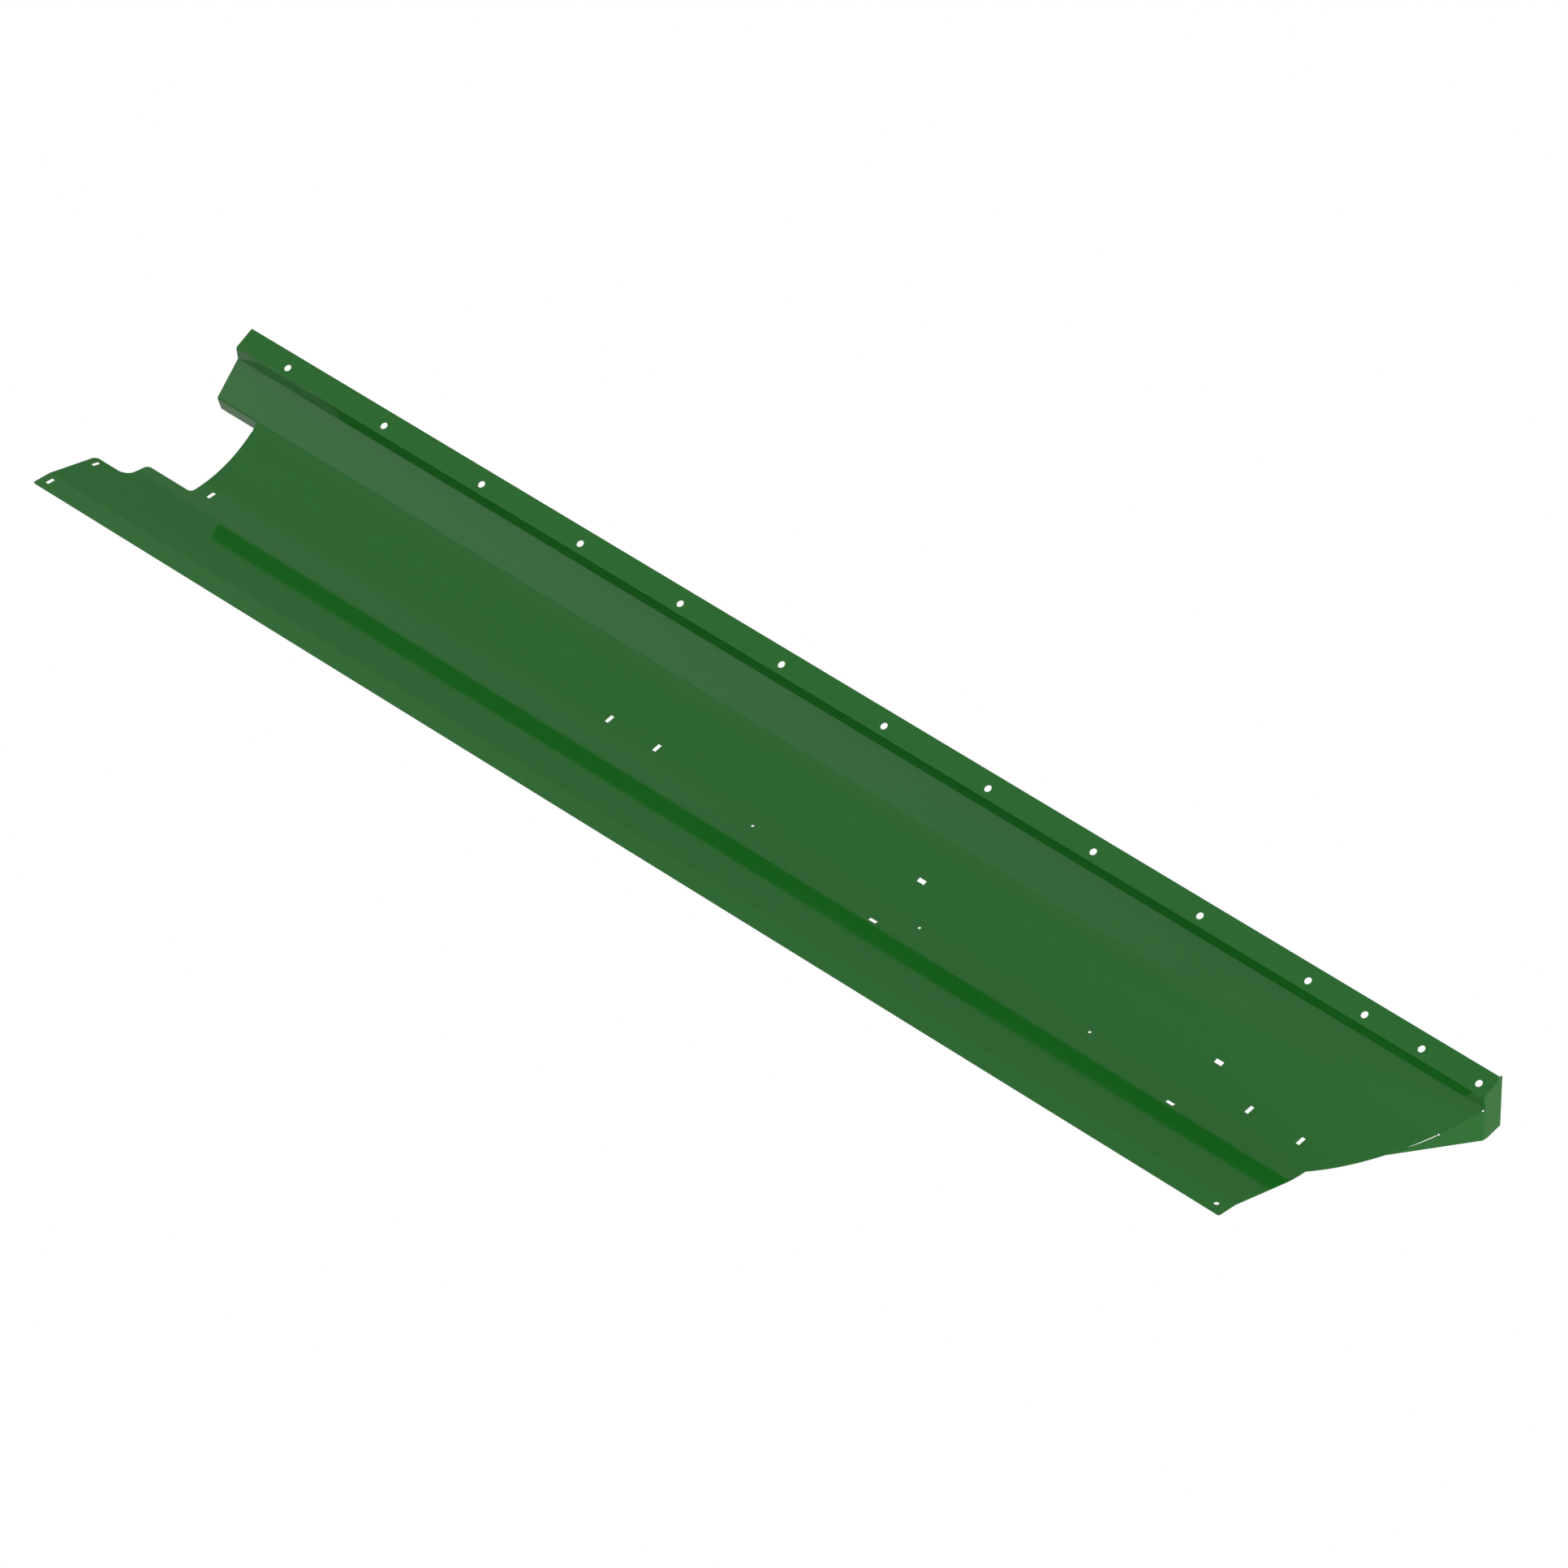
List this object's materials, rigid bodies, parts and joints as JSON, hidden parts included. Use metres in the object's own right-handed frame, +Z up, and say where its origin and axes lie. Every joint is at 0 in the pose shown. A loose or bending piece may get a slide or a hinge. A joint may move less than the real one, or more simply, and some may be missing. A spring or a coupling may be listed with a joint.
{
  "type": "formed sheet slide trough",
  "caption": "Long press-formed sheet slide trough with a level front lip, rolled bottom, stepped bolting flange along the back and a folded end plate, painted green.",
  "frame": {"origin": "centre of the middle hole of the flange's main bolt row, on the flange's upper face", "axes": "+X along the slide towards its closed end, +Y from the front lip back to the bolting flange, +Z up"},
  "size_m": [2.4965, 0.3704, 0.1428],
  "materials": {
    "green_paint": "gloss"
  },
  "bodies": {
    "root": {"trough_sheet": "green_paint", "end_plate": "green_paint", "wall_weld": "green_paint", "flange_weld": "green_paint"}
  },
  "joints": []
}
